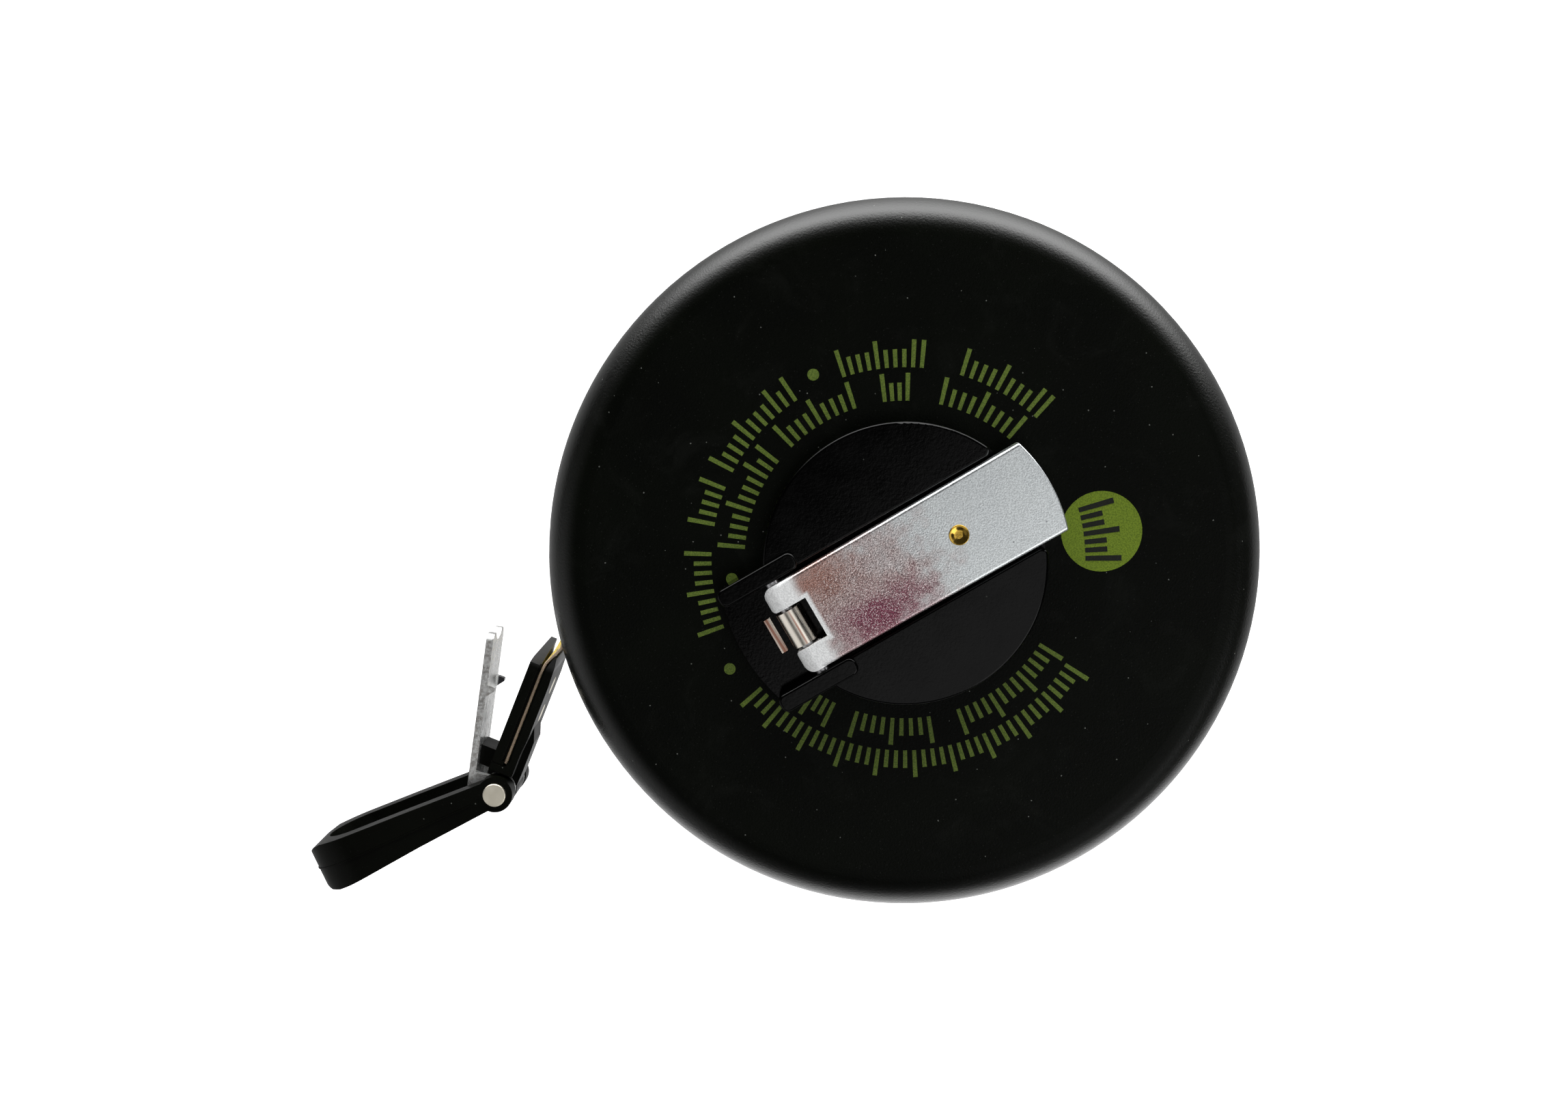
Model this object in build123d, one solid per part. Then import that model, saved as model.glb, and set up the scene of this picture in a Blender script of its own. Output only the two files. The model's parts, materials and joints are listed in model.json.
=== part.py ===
"""Closed-reel long tape measure: round case, folding winding crank, end ring and claw.

Units are millimetres. The origin is on the spindle axis in the plane of the back face.
+Z points out of the crank side and the tape is pulled along -Y.
"""

import os
from math import cos, pi, radians, sin

from build123d import *

# Tape
TAPE_WIDTH = 13.0
TAPE_THICK = 0.45
ROLL_R = 43.3
TAPE_LINE_X = -43.55

# Case
CASE_R = 52.5
CASE_THICK = 25.0
CASE_FILLET = 6.0
WALL = 2.2
PART_Z = CASE_THICK / 2
HUB_HOLE_R = 19.4
LIP_IN_R = 49.2
LIP_GAP = 0.05
LIP_TOP = 14.5
LIP_FOOT = 9.5
RIB_RADII = (25.6, 40.4)
RIB_WIDTH = 1.2
RIB_HEIGHT = 3.2

# Case screws
SCREW_CIRCLE_R = 46.3
SCREW_ANGLES = (70.0, 160.0, 250.0, 340.0)
CASE_BOSS_R = 2.6
SCREW_R = 1.2
SCREW_HEAD_R = 2.2
SCREW_HEAD_H = 1.4
SCREW_SINK = 1.8
SCREW_LENGTH = 17.0
PILOT_R = 1.24
CLEAR_R = 1.35

# Spindle and reel
SPINDLE_R = 3.0
SPINDLE_TOP = 13.2
SPINDLE_Z0 = 1.0
SPINDLE_FOOT_R = 4.5
SPINDLE_FOOT_T = 0.9
SPINDLE_BOSS_R = 7.0
SPINDLE_BOSS_TOP = 4.4
RUN_GAP = 0.05
WASHER_T = 0.5
CLIP_Z = 11.6
CLIP_T = 0.7
CLIP_R = 4.8
GROOVE_R = 2.5
DRUM_R = 19.95
DRUM_WALL = 1.5
DRUM_Z0 = 5.4
DRUM_TOP = 22.0
WEB_TOP = 7.2
DRUM_BOSS_R = 5.6
REEL_SCREW_ANGLES = (100.0, 180.0, 260.0)
REEL_SCREW_R = 13.5
POST_R = 2.5
REEL_SCREW_TIP = 16.0
ANCHOR_DEG0 = 200.0
ANCHOR_DEG1 = 206.0

# Winding hub, laid out along the crank: U runs along the arm and V across it
CRANK_DEG = 52.0
HUB_R = 20.45
HUB_Z0 = 25.4
FLOOR_TOP = 26.5
PAD_TOP = 29.8
PAD_SKIN = 1.5
CHANNEL_HALF = 7.55
COLLAR_R = 19.0
COLLAR_WALL = 2.0
CRADLE_R = 26.9
CRADLE_HALF = 9.0
CRADLE_LIP_U = -24.6
CRADLE_LIP_TOP = 26.95
CHEEK_U0 = -25.7
CHEEK_U1 = -13.1
CHEEK_IN = 7.4
CHEEK_OUT = 10.1
CHEEK_TOP = 31.0
POCKET_R = 6.2
POCKET_WALL = 1.0
POCKET_RUN = 1.9
POCKET_FLOOR = 16.2

# Crank
PIN_U = -17.9
PIN_Z = 29.2
PIN_R = 1.0
PIN_HALF = 9.2
ARM_T = 1.0
KNUCKLE_R = PIN_R + RUN_GAP + ARM_T
ARM_TOP = PIN_Z + KNUCKLE_R
ARM_END_R = 23.6
ARM_HALF_NEAR = 6.85
ARM_HALF_FAR = 7.2
ARM_FAR_U = 26.0
ARM_BEND_R = 0.5
ARM_END_ROUND = 0.25
FLANGE_BOTTOM = 28.75
FLANGE_U0 = -16.4
NOTCH_U = -14.67
NOTCH_HALF = 3.2
STRAP_HALF = 2.72
STRAP_T = 0.8
STRAP_IN_R = 1.1
STRAP_RUN_Z = 25.3
STRAP_BAR_U = -22.0
STRAP_BAR_T = 0.9
STRAP_BAR_TOP = 26.75
KNOB_U = 8.73
KNOB_R = 5.5
KNOB_Z0 = 17.0
KNOB_TOP = 29.75
RIVET_R = 1.4
RIVET_HEAD_R = 2.8
RIVET_PEEN_R = 1.47
RIVET_PEEN_H = 0.16
KNOB_WASHER_R = 3.4

# End fitting
END_X = -43.25
END_Y = -55.98
END_PIN_R = 1.0
END_HEAD_R = 1.73
END_HEAD_H = 0.45
CLAMP_Z0 = 5.2
CLAMP_Z1 = 19.8
CLAMP_GRIP = 0.25
LUG_Z0 = 9.0
LUG_Z1 = 16.0
LUG_R = 2.6
CLAMP_RIVET_YS = (-39.0, -43.6)
CLAMP_RIVET_R = 0.8
CLAMP_HEAD_R = 1.4
CLAMP_HEAD_H = 0.5
CLAMP_LEFT_X = -45.6
CLAMP_RIGHT_X = -41.7
HEEL_X = -40.9
RELIEF_HALF = 0.55
RELIEF_Y0 = -51.0
STOP_Y0 = -53.8
STOP_Y1 = -50.9
RING_DEG = 226.3
RING_Z0 = 4.0
RING_Z1 = 21.0
RING_ARM = 3.2
RING_BOSS_R = 2.68
RING_REACH = 31.4
RING_BAR = 3.5
RING_DRAFT = 0.65
RING_ROUND = 0.4
RING_FLASH = 0.12
RING_FLASH_FROM = 4.0
CLAW_DEG = 103.5
CLAW_T = 1.05
CLAW_Z0 = 7.5
CLAW_Z1 = 17.5
CLAW_EAR_T = 1.2
CLAW_OFFSET = 4.23
CLAW_TIP = 23.4
CLAW_FOOT = -0.4
CLAW_SHOULDER = 2.3
CLAW_NOTCH_R = 3.0
CLAW_NOTCH_DEEP = 1.3
CLAW_BARB_AT = 14.8
CLAW_BARB_H = 1.2
CLAW_BARB_W = 1.2
CLAW_LINE_ZS = (9.0, 14.5)
CLAW_EAR_R = 2.5

# Tape mouth
MOUTH_DEG0 = 202.0
MOUTH_DEG1 = 223.0
MOUTH_R_IN = 49.0
MOUTH_Z0 = 4.4
MOUTH_Z1 = 20.6
SLOT_X0 = -44.1
SLOT_X1 = -41.7
SLOT_MARGIN = 0.5

TAPE_Z0 = PART_Z - TAPE_WIDTH / 2
TAPE_Z1 = PART_Z + TAPE_WIDTH / 2
TAPE_ROUTE = [(TAPE_LINE_X, -0.5), (-42.45, -31.0), (TAPE_LINE_X, -35.6), (TAPE_LINE_X, -51.4)]
TAPE_BEND_R = 12.0


def disc(radius, z0, z1, x=0.0, y=0.0):
    """Upright cylinder between two heights."""
    return Pos(x, y, (z0 + z1) / 2) * Cylinder(radius, z1 - z0)


def tube(r_out, r_in, z0, z1, x=0.0, y=0.0):
    """Upright tube between two radii and two heights."""
    return disc(r_out, z0, z1, x, y) - disc(r_in, z0 - 1, z1 + 1, x, y)


def block(x0, x1, y0, y1, z0, z1):
    """Box between three pairs of limits."""
    centre = Pos((x0 + x1) / 2, (y0 + y1) / 2, (z0 + z1) / 2)
    return centre * Box(x1 - x0, y1 - y0, z1 - z0)


def prism(points, z0, z1):
    """Upright prism on a closed polygon."""
    face = make_face(Polyline(*points, close=True))
    return extrude(Pos(0, 0, z0) * face, amount=z1 - z0, dir=(0, 0, 1))


def sector(r_in, r_out, deg0, deg1, z0, z1):
    """Part of a tube between two angles."""
    section = Pos((r_in + r_out) / 2, (z0 + z1) / 2) * Rectangle(r_out - r_in, z1 - z0)
    return Rot(0, 0, deg0) * revolve(Plane.XZ * section, axis=Axis.Z, revolution_arc=deg1 - deg0)


def polar(radius, degrees):
    """Point on a circle about the spindle axis."""
    return radius * cos(radians(degrees)), radius * sin(radians(degrees))


def on_crank(part):
    """Turn a part laid out along U and V to where the stowed crank points."""
    return Rot(0, 0, CRANK_DEG) * part


def cross_bar(radius, v0, v1, u, z):
    """Cylinder lying across the crank."""
    return Pos(u, (v0 + v1) / 2, z) * Rot(90, 0, 0) * Cylinder(radius, v1 - v0)


def top_edges(part, z):
    """Edges that lie wholly at one height."""
    return [e for e in part.edges() if abs(e.bounding_box().min.Z - z) < 1e-4 and
            abs(e.bounding_box().max.Z - z) < 1e-4]


def case_solid():
    """Outer form of the case with its rounded rims."""
    body = disc(CASE_R, 0, CASE_THICK)
    return fillet(body.edges().filter_by(GeomType.CIRCLE), CASE_FILLET)


def case_cavity():
    """Space inside the case walls."""
    body = disc(CASE_R - WALL, WALL, CASE_THICK - WALL)
    return fillet(body.edges().filter_by(GeomType.CIRCLE), CASE_FILLET - WALL)


def screw_bosses(z0, z1):
    """Posts that the case screws go through or into."""
    posts = [disc(CASE_BOSS_R, z0, z1, *polar(SCREW_CIRCLE_R, a)) for a in SCREW_ANGLES]
    return posts[0] + posts[1:]


def holes(radius, z0, z1, circle_r, angles):
    """Round tools on a circle."""
    tools = [disc(radius, z0, z1, *polar(circle_r, a)) for a in angles]
    return tools[0] + tools[1:]


def mouth_window(gap):
    """Block of the rim that the tape guide fills."""
    spread = gap / CASE_R * 180 / pi
    return sector(MOUTH_R_IN - gap, CASE_R + 1, MOUTH_DEG0 - spread, MOUTH_DEG1 + spread,
                  MOUTH_Z0 - gap, MOUTH_Z1 + gap)


def front_shell():
    """Crank-side half of the case."""
    shell = (case_solid() - case_cavity()) & disc(CASE_R + 1, PART_Z, CASE_THICK + 1)
    for rib_r in RIB_RADII:
        shell += tube(rib_r + RIB_WIDTH / 2, rib_r - RIB_WIDTH / 2,
                      CASE_THICK - WALL - RIB_HEIGHT, CASE_THICK - WALL + 0.1)
    shell += screw_bosses(PART_Z, CASE_THICK - WALL + 0.1)
    shell -= holes(PILOT_R, PART_Z - 1, SCREW_LENGTH + 2.2, SCREW_CIRCLE_R, SCREW_ANGLES)
    shell -= disc(HUB_HOLE_R, PART_Z, CASE_THICK + 1)
    shell -= mouth_window(LIP_GAP)
    rim = [e for e in top_edges(shell, CASE_THICK) if abs(e.length - 2 * pi * HUB_HOLE_R) < 0.5]
    return fillet(rim, 0.4)


def back_shell():
    """Back half of the case, with the spindle's boss and the locating lip."""
    shell = (case_solid() - case_cavity()) & disc(CASE_R + 1, -1, PART_Z)
    for rib_r in RIB_RADII:
        shell += tube(rib_r + RIB_WIDTH / 2, rib_r - RIB_WIDTH / 2, WALL - 0.1, WALL + RIB_HEIGHT)
    shell += screw_bosses(WALL - 0.1, PART_Z)
    shell += disc(SPINDLE_BOSS_R, WALL - 0.1, SPINDLE_BOSS_TOP)
    shell += tube(CASE_R - WALL + 0.3, LIP_IN_R, LIP_FOOT, PART_Z)
    shell += tube(CASE_R - WALL - LIP_GAP, LIP_IN_R, PART_Z - 0.1, LIP_TOP)
    shell -= holes(CLEAR_R, -1, PART_Z + 1, SCREW_CIRCLE_R, SCREW_ANGLES)
    shell -= holes(SCREW_HEAD_R + 0.3, -1, SCREW_SINK, SCREW_CIRCLE_R, SCREW_ANGLES)
    shell -= disc(SPINDLE_R + 0.01, SPINDLE_Z0, SPINDLE_BOSS_TOP + 1)
    shell -= disc(SPINDLE_FOOT_R + 0.01, SPINDLE_Z0, SPINDLE_Z0 + SPINDLE_FOOT_T + 0.01)
    return shell - mouth_window(LIP_GAP)


def mouth_guide():
    """Insert in the rim with the slot that the tape runs out of."""
    guide = mouth_window(0) & case_solid()
    slot = block(SLOT_X0, SLOT_X1, -45, -5, TAPE_Z0 - SLOT_MARGIN, TAPE_Z1 + SLOT_MARGIN)
    return guide - fillet(slot.edges().filter_by(Axis.Y), 0.6)


def pan_screw(x, y, seat, tip, up):
    """Pan-head screw with a cross recess; its head lies under or over the seat."""
    side = -1 if up else 1
    head_far = seat + side * SCREW_HEAD_H
    head = disc(SCREW_HEAD_R, min(seat, head_far), max(seat, head_far), x, y)
    face = sorted(top_edges(head, head_far), key=lambda e: e.length)[-1:]
    head = fillet(face, 0.5)
    shank = disc(SCREW_R, min(seat, tip), max(seat, tip), x, y)
    cut_z = sorted((head_far - side * 0.7, head_far + side))
    slot_a = block(x - 1.1, x + 1.1, y - 0.22, y + 0.22, *cut_z)
    slot_b = block(x - 0.22, x + 0.22, y - 1.1, y + 1.1, *cut_z)
    return head + shank - slot_a - slot_b


def case_screws():
    """Four screws put in from the back."""
    return Compound([pan_screw(*polar(SCREW_CIRCLE_R, a), SCREW_SINK, SCREW_LENGTH, True)
                     for a in SCREW_ANGLES])


def spindle():
    """Steel axle moulded into the back shell by its foot, with a groove for the clip."""
    axle = disc(SPINDLE_R, SPINDLE_Z0, SPINDLE_TOP)
    axle += disc(SPINDLE_FOOT_R, SPINDLE_Z0, SPINDLE_Z0 + SPINDLE_FOOT_T)
    axle -= tube(SPINDLE_R + 1, GROOVE_R, CLIP_Z - 0.03, CLIP_Z + CLIP_T + 0.03)
    return chamfer(top_edges(axle, SPINDLE_TOP), 0.4)


def thrust_washer():
    """Nylon washer under the reel."""
    return tube(SPINDLE_BOSS_R - 1, SPINDLE_R + 0.08, SPINDLE_BOSS_TOP, SPINDLE_BOSS_TOP + WASHER_T)


def spindle_circlip():
    """Open clip in the spindle's groove that keeps the reel on."""
    clip = tube(CLIP_R, GROOVE_R + 0.02, CLIP_Z, CLIP_Z + CLIP_T)
    return clip - prism([(0, 0), (8, -4), (8, 4)], CLIP_Z - 1, CLIP_Z + CLIP_T + 1)


def reel_drum():
    """Drum that the tape is wound on, running on the spindle."""
    drum = tube(DRUM_R, DRUM_R - DRUM_WALL, DRUM_Z0, DRUM_TOP)
    drum += disc(DRUM_R - 0.5, DRUM_Z0, WEB_TOP)
    drum += disc(DRUM_BOSS_R, SPINDLE_BOSS_TOP + WASHER_T + RUN_GAP, CLIP_Z - 0.1)
    drum -= disc(SPINDLE_R + RUN_GAP, 0, CLIP_Z + 1)
    angles = [CRANK_DEG + a for a in REEL_SCREW_ANGLES]
    drum -= holes(CLEAR_R, DRUM_Z0 - 1, WEB_TOP + 1, REEL_SCREW_R, angles)
    drum -= sector(DRUM_R - DRUM_WALL - 0.5, DRUM_R + 1, ANCHOR_DEG0 - 0.3, ANCHOR_DEG1 + 0.3,
                   TAPE_Z0 - 0.1, TAPE_Z1 + 0.1)
    return drum


def reel_screws():
    """Three screws that hold the winding hub to the drum."""
    angles = [CRANK_DEG + a for a in REEL_SCREW_ANGLES]
    return Compound([pan_screw(*polar(REEL_SCREW_R, a), DRUM_Z0 - 0.02, REEL_SCREW_TIP, True)
                     for a in angles])


def tape_roll():
    """The wound tape as one ring."""
    return tube(ROLL_R, DRUM_R + 0.05, TAPE_Z0, TAPE_Z1)


def tape_anchor():
    """Key that wedges the tape's inner end into the drum."""
    return sector(DRUM_R - DRUM_WALL - 0.3, DRUM_R - 0.1, ANCHOR_DEG0, ANCHOR_DEG1, TAPE_Z0, TAPE_Z1)


def tape_lead():
    """Tape from the roll, out through the mouth and into the clamp."""
    route = FilletPolyline(*TAPE_ROUTE, radius=TAPE_BEND_R)
    strip = extrude(Pos(0, 0, TAPE_Z0) * trace(route, TAPE_THICK), amount=TAPE_WIDTH, dir=(0, 0, 1))
    return strip - clamp_rivet_holes(CLAMP_RIVET_R + 0.05)


def pad(side):
    """Raised round-backed pad beside the crank's channel, hollow below."""
    half_plane = block(-30, 30, CHANNEL_HALF, 30, 0, 60)
    solid = disc(HUB_R, HUB_Z0, PAD_TOP) & half_plane
    solid = fillet(solid.edges().filter_by(Axis.Z), 1.0)
    solid = fillet(top_edges(solid, PAD_TOP), 0.45)
    inner = disc(HUB_R - PAD_SKIN, HUB_Z0 - 1, PAD_TOP - PAD_SKIN)
    solid -= inner & block(-30, 30, CHANNEL_HALF + PAD_SKIN, 30, 0, 60)
    return solid if side > 0 else Rot(0, 0, 180) * solid


def cheek(side):
    """Upright wall beside the hinge."""
    wall = block(CHEEK_U0, CHEEK_U1, CHEEK_IN, CHEEK_OUT, HUB_Z0, CHEEK_TOP)
    wall = fillet(wall.edges().filter_by(Axis.Z), 1.1)
    wall = fillet(top_edges(wall, CHEEK_TOP), 0.4)
    return wall if side > 0 else mirror(wall, Plane.XZ)


def cradle_floor():
    """Floor that carries the hinge outside the round hub."""
    reach = disc(CRADLE_R, HUB_Z0, FLOOR_TOP) & block(-30, -10, -CRADLE_HALF, CRADLE_HALF, 0, 60)
    lip = disc(CRADLE_R, HUB_Z0, CRADLE_LIP_TOP) & block(-30, CRADLE_LIP_U, -CRADLE_HALF,
                                                          CRADLE_HALF, 0, 60)
    return reach + lip


def pocket(radius, z0, z1):
    """Oblong space that the folded knob drops into and swings out of."""
    outline = disc(radius, z0, z1, KNOB_U) + disc(radius, z0, z1, KNOB_U + POCKET_RUN)
    return outline + block(KNOB_U, KNOB_U + POCKET_RUN, -radius, radius, z0, z1)


def strap_slots():
    """Slots and the groove under the floor that hold the hinge strap."""
    leg_u0 = PIN_U - STRAP_IN_R - STRAP_T
    half = STRAP_HALF + 0.08
    groove = block(STRAP_BAR_U - 0.05, leg_u0 + STRAP_T + 0.05, -half, half,
                   HUB_Z0 - 1, STRAP_RUN_Z + STRAP_T + 0.02)
    leg_slot = block(leg_u0 - 0.05, leg_u0 + STRAP_T + 0.25, -half, half, HUB_Z0 - 1, FLOOR_TOP + 1)
    bar_slot = block(STRAP_BAR_U - 0.1, STRAP_BAR_U + STRAP_BAR_T + 0.1, -half, half,
                     HUB_Z0 - 1, FLOOR_TOP + 1)
    return groove + leg_slot + bar_slot


def winding_hub():
    """Hub that the user turns with the crank, screwed to the drum."""
    hub = disc(HUB_R - 0.1, HUB_Z0, FLOOR_TOP) + cradle_floor()
    hub += tube(COLLAR_R, COLLAR_R - COLLAR_WALL, DRUM_TOP + 0.1, HUB_Z0 + 0.1)
    below_pads = disc(HUB_R - PAD_SKIN, HUB_Z0 - 0.5, FLOOR_TOP + 0.5)
    below_pads -= block(-30, 30, -CHANNEL_HALF - PAD_SKIN, CHANNEL_HALF + PAD_SKIN, 0, 60)
    hub -= below_pads
    for side in (1, -1):
        hub += pad(side) + cheek(side)
    hub += pocket(POCKET_R + POCKET_WALL, POCKET_FLOOR - POCKET_WALL, FLOOR_TOP)
    for angle in REEL_SCREW_ANGLES:
        x, y = polar(REEL_SCREW_R, angle)
        top = PAD_TOP - PAD_SKIN + 0.1 if abs(y) > CHANNEL_HALF else HUB_Z0 + 0.1
        hub += disc(POST_R, WEB_TOP, top, x, y)
        hub -= disc(PILOT_R, WEB_TOP - 1, REEL_SCREW_TIP + 1, x, y)
    hub -= pocket(POCKET_R, POCKET_FLOOR, FLOOR_TOP + 1)
    hub -= strap_slots()
    hub -= cross_bar(PIN_R + 0.02, -PIN_HALF - 0.05, PIN_HALF + 0.05, PIN_U, PIN_Z)
    return on_crank(hub)


def arm_outline():
    """Plan of the crank arm with its notch and rounded prongs."""
    tip_u = PIN_U - KNUCKLE_R
    corners = [(tip_u, -ARM_HALF_NEAR), (ARM_FAR_U, -ARM_HALF_FAR), (ARM_FAR_U, ARM_HALF_FAR),
               (tip_u, ARM_HALF_NEAR), (tip_u, NOTCH_HALF), (NOTCH_U, NOTCH_HALF),
               (NOTCH_U, -NOTCH_HALF), (tip_u, -NOTCH_HALF)]
    face = make_face(Polyline(*corners, close=True))
    tips = [v for v in face.vertices() if abs(v.X - tip_u) < 1e-3]
    outer = [v for v in tips if abs(v.Y) > NOTCH_HALF + 1]
    face = fillet(outer, 1.6)
    inner = [v for v in face.vertices() if abs(v.X - tip_u) < 1e-3 and abs(abs(v.Y) - NOTCH_HALF) < 1e-3]
    return fillet(inner, 0.7)


def crank_arm():
    """Pressed steel arm with turned-down edges, rolled over the hinge pin."""
    near, far = ARM_HALF_NEAR, ARM_HALF_FAR
    outer = [(PIN_U, -near), (ARM_FAR_U, -far), (ARM_FAR_U, far), (PIN_U, near)]
    inner = [(u, v - ARM_T * (1 if v > 0 else -1)) for u, v in outer]
    channel = prism(outer, FLANGE_BOTTOM, ARM_TOP)
    long_edges = [e for e in top_edges(channel, ARM_TOP) if e.length > 30]
    channel = fillet(long_edges, ARM_BEND_R)
    channel -= prism(inner, FLANGE_BOTTOM - 1, ARM_TOP - ARM_T)
    channel -= block(PIN_U - 5, FLANGE_U0, -10, 10, FLANGE_BOTTOM - 1, ARM_TOP - ARM_T)
    channel &= disc(ARM_END_R, FLANGE_BOTTOM - 1, ARM_TOP + 1)
    channel += cross_bar(KNUCKLE_R, -near, near, PIN_U, PIN_Z)
    channel -= cross_bar(PIN_R + RUN_GAP, -near - 1, near + 1, PIN_U, PIN_Z)
    plan = extrude(Pos(0, 0, FLANGE_BOTTOM - 5) * arm_outline(), amount=12, dir=(0, 0, 1))
    arm = channel & plan
    far_edges = [e for e in top_edges(arm, ARM_TOP) if e.center().X > ARM_END_R - 2]
    arm = fillet(far_edges, ARM_END_ROUND)
    arm -= disc(RIVET_R + 0.01, ARM_TOP - 2, ARM_TOP + 1, KNOB_U)
    return on_crank(arm)


def crank_hinge_pin():
    """Pin through the cheeks, the arm's knuckles and the strap's eye."""
    return on_crank(cross_bar(PIN_R, -PIN_HALF, PIN_HALF, PIN_U, PIN_Z))


def hinge_strap():
    """Spring strip with an eye round the pin, tucked under the floor."""
    leg_u0 = PIN_U - STRAP_IN_R - STRAP_T
    half = STRAP_HALF
    strap = cross_bar(STRAP_IN_R + STRAP_T, -half, half, PIN_U, PIN_Z)
    strap += block(leg_u0, leg_u0 + STRAP_T, -half, half, STRAP_RUN_Z, PIN_Z)
    strap -= cross_bar(STRAP_IN_R, -half - 1, half + 1, PIN_U, PIN_Z)
    strap += block(STRAP_BAR_U, leg_u0 + STRAP_T, -half, half, STRAP_RUN_Z, STRAP_RUN_Z + STRAP_T)
    strap += block(STRAP_BAR_U, STRAP_BAR_U + STRAP_BAR_T, -half, half, STRAP_RUN_Z, STRAP_BAR_TOP)
    strap -= block(leg_u0 + STRAP_T, PIN_U, -half - 1, half + 1, PIN_Z - 3, PIN_Z - 1.2)
    return on_crank(strap)


def crank_knob():
    """Turning knob with a waist and a rounded end, hollow for the rivet's head."""
    half_section = [(RIVET_R + RUN_GAP, KNOB_Z0 + 1.3), (RIVET_HEAD_R + 0.3, KNOB_Z0 + 1.3),
                    (RIVET_HEAD_R + 0.3, KNOB_Z0), (KNOB_R, KNOB_Z0), (KNOB_R, KNOB_TOP - 3.2),
                    (KNOB_R - 0.9, KNOB_TOP - 1.6), (KNOB_R - 0.9, KNOB_TOP),
                    (RIVET_R + RUN_GAP, KNOB_TOP)]
    face = Plane.XZ * make_face(Polyline(*half_section, close=True))
    knob = revolve(face, axis=Axis.Z)
    rims = [e for e in top_edges(knob, KNOB_Z0) if e.length > 2 * pi * (KNOB_R - 0.5)]
    knob = fillet(rims, 1.4)
    return on_crank(Pos(KNOB_U, 0, 0) * knob)


def knob_rivet():
    """Brass rivet through the arm that the knob turns on."""
    top = ARM_TOP + RIVET_PEEN_H
    rivet = disc(RIVET_HEAD_R, KNOB_Z0 + 0.35, KNOB_Z0 + 1.2) + disc(RIVET_R, KNOB_Z0 + 1, ARM_TOP + 0.05)
    peen = disc(RIVET_PEEN_R, ARM_TOP + 0.01, top)
    peen = fillet(top_edges(peen, top), 0.1)
    return on_crank(Pos(KNOB_U, 0, 0) * (rivet + peen))


def knob_washer():
    """Washer between the arm and the knob."""
    washer = tube(KNOB_WASHER_R, RIVET_R + 0.02, KNOB_TOP + RUN_GAP, ARM_TOP - ARM_T - 0.02)
    return on_crank(Pos(KNOB_U, 0, 0) * washer)


def clamp_rivet_holes(radius):
    """Round tools through the clamp, one for each rivet."""
    tools = [Pos(TAPE_LINE_X, y, PART_Z) * Rot(0, 90, 0) * Cylinder(radius, 12)
             for y in CLAMP_RIVET_YS]
    return tools[0] + tools[1:]


def head_recess(x0, x1):
    """Round recesses for the rivets' heads."""
    tools = [Pos((x0 + x1) / 2, y, PART_Z) * Rot(0, 90, 0) * Cylinder(CLAMP_HEAD_R + 0.05, x1 - x0)
             for y in CLAMP_RIVET_YS]
    return tools[0] + tools[1:]


def slanted_top(part, low_y, run):
    """Trim a clamp half so that its end leans back towards the crank side."""
    far = low_y + run + 3
    wedge = Plane.YZ * make_face(Polyline((low_y, CLAMP_Z1), (low_y + run, CLAMP_Z0), (far, CLAMP_Z0),
                                          (far, CLAMP_Z1 + 1), (low_y, CLAMP_Z1 + 1), close=True))
    return part - Pos(CLAMP_LEFT_X - 1, 0, 0) * extrude(wedge, amount=6, dir=(1, 0, 0))


def tape_relief():
    """Shallow open grooves beside both edges of the gripped tape."""
    half, low, high = RELIEF_HALF, TAPE_Z0 - 0.05, TAPE_Z1 + 0.05
    y0, y1 = RELIEF_Y0, -30
    top = block(TAPE_LINE_X - half, TAPE_LINE_X + half, y0, y1, high, CLAMP_Z1 + 1)
    return top + block(TAPE_LINE_X - half, TAPE_LINE_X + half, y0, y1, CLAMP_Z0 - 1, low)


def claw_face_x(y):
    """X of the stowed claw's inner face at a given Y."""
    out_x, out_y = polar(CLAW_OFFSET - CLAW_T / 2, CLAW_DEG + 90)
    step_x, step_y = polar(1, CLAW_DEG)
    return END_X + out_x + step_x * (y - END_Y - out_y) / step_y


def claw_stop():
    """Block beside the clamp that the folded claw lies against."""
    top, low, gap = STOP_Y1, STOP_Y0, RUN_GAP
    right, step = CLAMP_LEFT_X - 0.05, END_X - LUG_R - 0.1
    outline = [(claw_face_x(top) + gap, top), (right, top), (right, -52.3), (step, -52.3),
               (step, low), (claw_face_x(low) + gap, low)]
    neck = block(CLAMP_LEFT_X - 0.6, CLAMP_LEFT_X + 0.5, -51.5, top - 0.05, LUG_Z0 + 0.8, LUG_Z1 - 0.8)
    return prism(outline, LUG_Z0 + 0.5, LUG_Z1 - 0.5) + neck


def clamp_left():
    """Outer half of the tape clamp, with the block that the claw rests on."""
    inner = TAPE_LINE_X - CLAMP_GRIP
    outline = [(inner, -51.6), (inner, -36.3), (inner - 0.35, -33.4), (-45.1, -33.4),
               (CLAMP_LEFT_X, -34.9), (CLAMP_LEFT_X, -51.6)]
    half = slanted_top(prism(outline, CLAMP_Z0, CLAMP_Z1), -35.3, 1.9)
    half += claw_stop()
    half -= block(inner, -40, -60, -30, 0, 30)
    half -= tape_relief()
    half -= clamp_rivet_holes(CLAMP_RIVET_R + 0.02)
    return half - head_recess(CLAMP_LEFT_X - 1, CLAMP_LEFT_X + CLAMP_HEAD_H + 0.03)


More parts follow.
